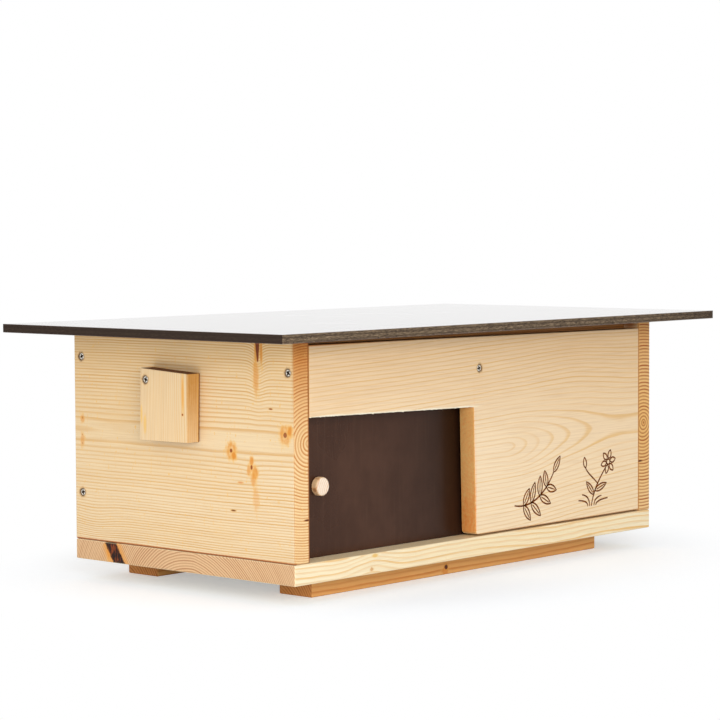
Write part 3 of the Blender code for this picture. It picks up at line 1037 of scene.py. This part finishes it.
def left_wood():
    pith = (LEFT_FACE + 20.5 * MM, FLOOR_TOP + 118.3 * MM)
    middle = (left_low + left_high) / 2
    knots = []
    marks = [
        # from the front, above the floor, width, how dark
        (86.6, 107.8, 1.8, 0.95),
        (58.2, 92.7, 1.4, 0.95),
        (11.9, 127.4, 2.4, 0.85),
        (307.9, 129.5, 1.0, 0.4),
        (308.2, 111.5, 0.8, 0.3),
        (308.2, 102.5, 0.8, 0.3),
    ]
    for from_front, above_floor, width, dark in marks:
        x, y, z = on_left_wall(from_front, above_floor)
        knots.append(Knot((pith[0], y, pith[1]), (x - pith[0], 0, z - pith[1]), width * MM, dark=dark))
    patches = [
        # from the front, above the floor, half length, half height, strength, hollow
        (86.2, 107.5, 6.4, 8.4, 0.85, 1.0),
        (82.8, 102.7, 4.0, 5.0, 0.9, 0.0),
        (58.0, 99.0, 3.4, 5.4, 0.8, 0.0),
        (62.0, 89.5, 2.8, 6.2, 0.6, 0.0),
        (53.5, 87.5, 5.0, 7.4, 0.8, 0.0),
        (55.5, 81.0, 4.2, 9.0, 0.55, 0.0),
        (11.9, 127.4, 6.6, 9.0, 0.75, 1.0),
        (5.4, 131.7, 3.6, 6.4, 0.85, 0.0),
        (43.8, 208.0, 2.0, 15.0, 0.8, 0.0),
        (51.5, 208.0, 2.0, 15.0, 0.85, 0.0),
        (51.2, 184.0, 4.4, 20.0, 0.55, 0.0),
        (307.9, 128.0, 3.6, 5.0, 0.5, 0.0),
        (308.2, 106.0, 3.4, 8.0, 0.45, 0.0),
        (52.0, 62.0, 5.0, 14.0, 0.3, 0.0),
    ]
    dashes = [
        # from the front, above the floor, half length, half height, colour
        (31.4, 152.0, 3.2, 1.0, srgb(146, 66, 20)),
        (83.8, 47.9, 4.2, 1.1, srgb(124, 66, 26)),
        (73.6, 76.7, 4.4, 1.1, srgb(222, 156, 104)),
    ]
    top = Vector((middle.x, middle.y, left_high.z))
    front = Vector((middle.x, left_low.y, left_high.z))
    seam = Vector((left_high.x, left_low.y, middle.z))
    foot = Vector((left_low.x, middle.y, left_low.z))
    cut_dash = Vector((LEFT_FACE + 18 * MM, left_low.y, FLOOR_TOP + 43 * MM))
    stains_and_shade = [
        # Darker and warmer towards the top: painted shade under the roof.
        darken_keeping_grain(top, mm(40, 900, 60), 0.8, srgb(254, 240, 214)),
        # Darker front end grain towards the top: painted shade under the roof.
        darken_keeping_grain(front, mm(40, 2, 60), 1.0, srgb(214, 174, 126)),
        StainAndShade(seam, mm(2.2, 2, 400), 0.9, srgb(128, 64, 28), srgb(180, 104, 48), 0.4),
        # Dark line along the bottom edge: painted shadow where the wall meets the floor.
        StainAndShade(foot, mm(4, 900, 1.7), 0.9, srgb(150, 74, 26), srgb(206, 124, 52), 0.4),
        StainAndShade(cut_dash, mm(4.6, 2, 1.1), 0.95, srgb(92, 40, 16), srgb(206, 124, 52), 0.2),
    ]
    for from_front, above_floor, half_length, half_height, shade in dashes:
        centre = on_left_wall(from_front, above_floor)
        stains_and_shade.append(StainAndShade(centre, mm(8, half_length, half_height), 0.95, shade, ragged=0.2))
    for from_front, above_floor, half_length, half_height, strength, hollow in patches:
        centre = on_left_wall(from_front, above_floor)
        stains_and_shade.append(StainAndShade(centre, mm(8, half_length, half_height), strength, hollow=hollow))
    stains_and_shade += about_screws("screw_left")
    knots.append(Knot(on_left_wall(48.7, 197.0, 0.5), (0, 0.02, 1), 0.9 * MM, flare=0.11, char=0.35))
    swells = [
        Swell(on_left_wall(48.7, 196.0), mm(60, 9.5, 38), 5.6 * MM),
        Swell(on_left_wall(290.0, 22.0), mm(60, 30, 22), -4.0 * MM),
        Swell(on_left_wall(58.2, 90.0), mm(60, 12, 9), -1.2 * MM),
        Swell(on_left_wall(74.0, 118.0), mm(60, 26, 12), 0.95 * MM),
    ]
    return wood("left_wall_spruce", Plank(
        Y, pith, seed=1.0, knots=knots, stains_and_shade=stains_and_shade, swells=swells, box=(left_low, left_high),
        early=srgb(240, 217, 178), late=srgb(215, 162, 90), warm=srgb(232, 198, 146),
        end_early=srgb(252, 218, 162), end_late=srgb(202, 122, 46), end_strength=0.9))


def front_wood(low, high):
    middle = (low + high) / 2
    top = Vector((middle.x, low.y, high.z))
    foot = Vector((middle.x, low.y, low.z))
    cut = Vector((DOORWAY_EDGE_FOOT, middle.y, low.z + 25 * MM))
    right = Vector((high.x - 50 * MM, low.y, FLOOR_TOP + 100 * MM))
    stains_and_shade = [
        darken_keeping_grain(right, mm(150, 60, 150), 0.5, srgb(251, 243, 229)),
        # Darker towards the top, and a brown line along the top edge: painted shade under the roof.
        darken_keeping_grain(top, mm(900, 60, 90), 0.8, srgb(234, 219, 200)),
        StainAndShade(top, mm(900, 3, 1.4), 0.9, srgb(188, 108, 40), srgb(216, 146, 76), 0.1),
        darken_keeping_grain(cut, mm(1, 60, 60), 0.8, srgb(250, 212, 182), 2.2),
        # Dark line along the foot: painted shadow in the gap above the floor.
        StainAndShade(foot, mm(900, 4, 1.2), 0.6, srgb(170, 104, 50), srgb(216, 156, 90), 0.4),
    ]
    for share in (0.1, 0.3, 0.5, 0.7, 0.9):
        x = low.x + (DOORWAY_EDGE_TOP - low.x) * share
        lintel = (x, low.y, LINTEL_LEFT + (LINTEL_RIGHT - LINTEL_LEFT) * share)
        stains_and_shade.append(StainAndShade(lintel, mm(30, 3, 1.6), 0.8, TORN_WHITE, TORN_WHITE, 0.4))
        x = DOORWAY_EDGE_FOOT + (DOORWAY_EDGE_TOP - DOORWAY_EDGE_FOOT) * share
        sawn = (x, middle.y, low.z + (LINTEL_RIGHT - low.z) * share)
        stains_and_shade.append(darken_keeping_grain(sawn, mm(1, 60, 26), 0.25, srgb(255, 214, 188), 3.5))
    swells = [
        Swell((165 * MM, low.y, FLOOR_TOP + 175 * MM), mm(80, 40, 55), -7 * MM),
        Swell((60 * MM, low.y, FLOOR_TOP + 75 * MM), mm(45, 40, 13), -3.5 * MM),
    ]
    return wood("front_board_spruce", Plank(
        X, (low.y, FLOOR_TOP + 91 * MM), lean=(0.0, 0.04), bow=(30 * MM, 220 * MM, 32 * MM),
        ring=5.0 * MM, crowding=0.8, wander=2.0 * MM, seed=31.0, swells=swells, late_share=0.34,
        early=srgb(254, 231, 196), late=srgb(238, 192, 114), warm=srgb(248, 217, 173), strength=0.75,
        end_early=srgb(255, 206, 130), end_late=srgb(250, 160, 84), end_strength=0.2,
        stains_and_shade=stains_and_shade + about_screws("screw_front"), box=(low, high), arris_strength=0.12))


def right_wood():
    heart = Vector((right_low.x + 10 * MM, right_low.y, FLOOR_TOP + 101.7 * MM))
    top = Vector((heart.x, right_low.y, right_high.z))
    seam = Vector((right_low.x, right_low.y, heart.z))
    dash = Vector((right_low.x + 3 * MM, right_low.y, FLOOR_TOP + 57.8 * MM))
    nook = Vector((right_low.x, right_low.y + 12 * MM, right_high.z - 3 * MM))
    stains_and_shade = [
        # Brown patch on the inner face behind the front, by the top: painted shade in the gap under the
        # roof.
        darken_keeping_grain(nook, mm(2, 9, 8), 1.0, srgb(208, 150, 112)),
        darken_keeping_grain(heart, mm(30, 2, 80), 0.9, srgb(240, 220, 180), 0.3),
        # Darker front end grain towards the top: painted shade under the roof.
        darken_keeping_grain(top, mm(30, 2, 50), 0.9, srgb(232, 206, 168)),
        StainAndShade(seam, mm(2, 2, 400), 0.5, srgb(176, 104, 50), ragged=0.4),
        StainAndShade(dash, mm(5, 2, 1.1), 0.95, srgb(70, 32, 14), srgb(176, 104, 50), 0.2),
    ]
    return wood("right_wall_spruce", Plank(
        Y, (heart.x, heart.z), seed=21.0, ring=4.2 * MM, crowding=0.9, box=(right_low, right_high),
        end_early=srgb(255, 220, 160), end_late=srgb(172, 84, 24),
        knots=[Knot(heart + mm(0, 4, 0), (0, -1, 0), 1.5 * MM, dark=0.7)],
        stains_and_shade=stains_and_shade + about_screws("screw_right")))


def floor_wood():
    band = Vector((floor_low.x + MM, left_low.y + 269 * MM, FLOOR_TOP + 4 * MM))
    toward = Vector((0, -0.542, -0.84))
    middle = band + toward * (14 * MM)
    hump = Vector((-184 * MM, floor_low.y, FLOOR_TOP - 9 * MM))
    stains_and_shade = [
        StainAndShade(middle, mm(20, 15, 20), 0.4, srgb(224, 150, 80), srgb(230, 176, 116)),
        StainAndShade(middle + mm(0, 8, 0), mm(6, 3.2, 12), 0.8, srgb(226, 136, 56)),
        StainAndShade(hump + mm(-2, 0, -7), mm(3, 3, 2.2), 0.7, srgb(214, 150, 84), srgb(240, 206, 150)),
        StainAndShade(hump + mm(3, 0, 6.5), mm(5, 3, 2), 0.8, srgb(240, 192, 104), srgb(246, 214, 146), 0.4),
    ]
    return wood("floor_spruce", Plank(
        X, (floor_low.y + 150 * MM, floor_low.z - 60 * MM), seed=41.0, ring=3.2 * MM,
        crowding=1.3, strength=0.9, wander=2.4 * MM, box=(floor_low, floor_high),
        early=srgb(255, 242, 208), late=srgb(238, 188, 114), warm=srgb(255, 230, 182),
        end_early=srgb(232, 195, 150), end_late=srgb(182, 126, 86),
        # Pale arris colour: a painted highlight along the floor board's edges.
        arris=srgb(255, 232, 184), arris_strength=0.5,
        knots=[Knot(band, toward, 7.8 * MM, char=1.0)], stains_and_shade=stains_and_shade,
        swells=[Swell(hump, mm(34, 20, 24), -4.5 * MM)]))


def runner_wood(node, seed):
    low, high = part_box(node)
    spot = Vector((low.x + 211 * MM, low.y, high.z - 13 * MM))
    return wood(node + "_pine", Plank(
        X, (low.y + 60 * MM, low.z - 25 * MM), ring=4.2 * MM, seed=seed, box=(low, high),
        early=srgb(240, 182, 110), late=srgb(206, 130, 62), warm=srgb(228, 158, 90),
        end_early=srgb(208, 144, 82), end_late=srgb(160, 92, 42),
        knots=[Knot(spot + mm(0, 20, 0), (0, -1, 0), 2.7 * MM, char=0.7)],
        stains_and_shade=[StainAndShade(spot + mm(-2, 0, -4), mm(7, 4, 5), 0.6, srgb(212, 122, 44))]))


def cover_wood():
    low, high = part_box("vent_cover")
    middle = (low + high) / 2
    streak, resin = srgb(232, 168, 88), srgb(236, 190, 108)
    stains_and_shade = [
        StainAndShade((low.x, low.y + 7 * MM, high.z - 24 * MM), mm(5, 1.8, 20), 0.9, streak, ragged=0.3),
        StainAndShade((low.x, high.y - 3 * MM, low.z + 27 * MM), mm(5, 1.4, 9), 0.7, resin, ragged=0.5),
        StainAndShade((low.x, high.y - 8 * MM, low.z + 17 * MM), mm(5, 2, 10), 0.7, resin, ragged=0.5),
        # Darker, warmer side facing the front: partly the wood's own tone, partly painted shade.
        darken_keeping_grain((middle.x, low.y, middle.z), mm(90, 1.6, 400), 0.9, srgb(212, 176, 108), 0.3),
        # Dark line at the side's back edge: painted shadow against the wall.
        StainAndShade((high.x, low.y, middle.z), mm(3, 5, 200), 0.9, srgb(120, 60, 26), ragged=0.3),
    ]
    return wood("cover_spruce", Plank(
        Z, (low.x - 30 * MM, low.y - 20 * MM), ring=3.2 * MM, seed=61.0, box=(low, high),
        early=srgb(234, 207, 165), strength=0.55,
        # Dark end-grain colours: painted shade on the top face under the roof, which the bottom face
        # takes too.
        end_early=srgb(130, 80, 48), end_late=srgb(84, 46, 26),
        # Pale arris colour: a painted highlight along the edges.
        arris=srgb(246, 214, 168), arris_strength=0.2,
        knots=[Knot(low + mm(4, 7.5, 29), (-1, 0, 0), 1.0 * MM)],
        stains_and_shade=stains_and_shade + about_screws("vent_pivot")))


def back_wood():
    low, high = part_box("back_panel")
    return wood("back_spruce", Plank(
        X, (high.y - 30 * MM, low.z + 90 * MM), lean=(0.05, 0.0), seed=71.0, box=(low, high)))


def batten_wood(node, along, beside, below, seed, colours):
    """Browner wood for a batten. Its pith lies beside and below its low corner, by so many mm."""
    low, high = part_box(node)
    pith = (low[Y if along == X else X] - beside * MM, low.z - below * MM)
    early, late, warm = colours
    plank = Plank(along, pith, seed=seed, box=(low, high), early=early, late=late, warm=warm)
    return wood(node + "_spruce", plank)


def boards():
    give("side_left", left_wood())
    give("side_right", right_wood())
    give("floor_board", floor_wood())
    give("runner_front", runner_wood("runner_front", 51.0))
    give("runner_back", runner_wood("runner_back", 56.0))
    give("vent_cover", cover_wood())
    give("back_panel", back_wood())
    brown = (srgb(204, 142, 78), srgb(162, 96, 44), srgb(190, 124, 62))
    for part, seed in (("spacer", 81.0), ("keeper", 85.0), ("sill", 89.0)):
        node = "door_guide_" + part
        give(node, batten_wood(node, X, 40, 30, seed, brown))
    tan = (srgb(224, 166, 102), srgb(186, 118, 60), srgb(212, 148, 86))
    for side, seed in (("left", 95.0), ("right", 99.0)):
        node = "roof_batten_" + side
        give(node, batten_wood(node, Y, 35, 20, seed, tan))


def decoration():
    """The burnt sprigs at the lower right of the front board."""
    material = burnt("burnt_line")
    drawing = Drawing(LEAF_SPRIG_FROM_LEFT)
    leafy_sprig(drawing)
    drawing.finish("burnt_leaf_sprig", material)
    drawing = Drawing(FLOWER_SPRIG_FROM_LEFT)
    flower_sprig(drawing)
    drawing.finish("burnt_flower_sprig", material)


def make_camera():
    lens = bpy.data.cameras.new("camera")
    lens.sensor_width = CAMERA_SENSOR
    lens.lens = CAMERA_LENS
    lens.clip_start = 0.05
    lens.clip_end = 200
    camera = bpy.data.objects.new("camera", lens)
    bpy.context.scene.collection.objects.link(camera)
    turn = Matrix.Rotation(CAMERA_YAW, 4, "Z") @ Matrix.Rotation(CAMERA_TILT, 4, "X")
    turn = turn @ Matrix.Rotation(CAMERA_ROLL, 4, "Z")
    camera.matrix_world = Matrix.Translation(CAMERA_PLACE) @ turn
    bpy.context.scene.camera = camera


def add_lamp(name, place, aim, size, power):
    light = bpy.data.lights.new(name, "AREA")
    light.shape = "RECTANGLE"
    light.size, light.size_y = size
    light.energy = power
    lamp = bpy.data.objects.new(name, light)
    bpy.context.scene.collection.objects.link(lamp)
    lamp.location = place
    lamp.rotation_mode = "QUATERNION"
    lamp.rotation_quaternion = (Vector(aim) - Vector(place)).to_track_quat("-Z", "Y")
    lamp.visible_camera = False
    lamp.visible_glossy = False


def seen_directly(finish):
    """1 for what the camera, a reflection or a clear body shows, 0 for what only lights."""
    path = finish.node("LightPath", {}, {}, "Is Camera Ray")
    return path.most(path.side("Is Glossy Ray")).most(path.side("Is Transmission Ray"))


def make_floor():
    """White paper that keeps the shadow beside the house and fades to plain white around it."""
    form = bmesh.new()
    bmesh.ops.create_grid(form, x_segments=1, y_segments=1, size=30)
    floor = bpy.data.objects.new("studio_floor", to_mesh(form, "studio_floor"))
    bpy.context.scene.collection.objects.link(floor)
    finish = new_finish("studio_floor")
    place = finish.coordinates()
    away = finish.vector("LENGTH", finish.vector("DIVIDE", place, (0.52, 0.40, 1.0)), None, "Value")
    paper = finish.node("BsdfDiffuse", {}, {"Color": (0.78, 0.83, 0.89, 1.0)})
    glow = finish.node("Emission", {}, {"Color": (1.0, 1.0, 1.0, 1.0), "Strength": 0.38})
    white = finish.node("Emission", {}, {"Color": (1.0, 1.0, 1.0, 1.0), "Strength": 1.0})
    near = finish.node("AddShader", {}, {0: paper, 1: glow})
    shown = finish.node("MixShader", {}, {0: finish.step(away, 0.62, 0.98), 1: near, 2: white})
    mixed = finish.node("MixShader", {}, {0: seen_directly(finish), 1: paper, 2: shown})
    floor.data.materials.append(finish.close(mixed))


def make_light():
    world = bpy.data.worlds.new("studio")
    bpy.context.scene.world = world
    finish = Finish(world)
    soft = finish.node("Background", {}, {"Color": (1.0, 0.99, 0.98, 1.0), "Strength": 0.67})
    white = finish.node("Background", {}, {"Color": (1.0, 1.0, 1.0, 1.0), "Strength": 1.0})
    mixed = finish.node("MixShader", {}, {0: seen_directly(finish), 1: soft, 2: white})
    finish.close(mixed, "OutputWorld")
    add_lamp("front_box", (-1.45, -1.9, 0.62), (0.0, 0.0, 0.12), (1.2, 0.8), 25)
    add_lamp("low_board", (-0.72, 0.02, 0.06), (-0.3, 0.02, 0.19), (0.9, 0.09), 0.6)


make_camera()
make_light()
make_floor()
boards()
front_board()
plywood()
knob()
screws()
decoration()

bpy.context.scene.view_settings.view_transform = "Standard"
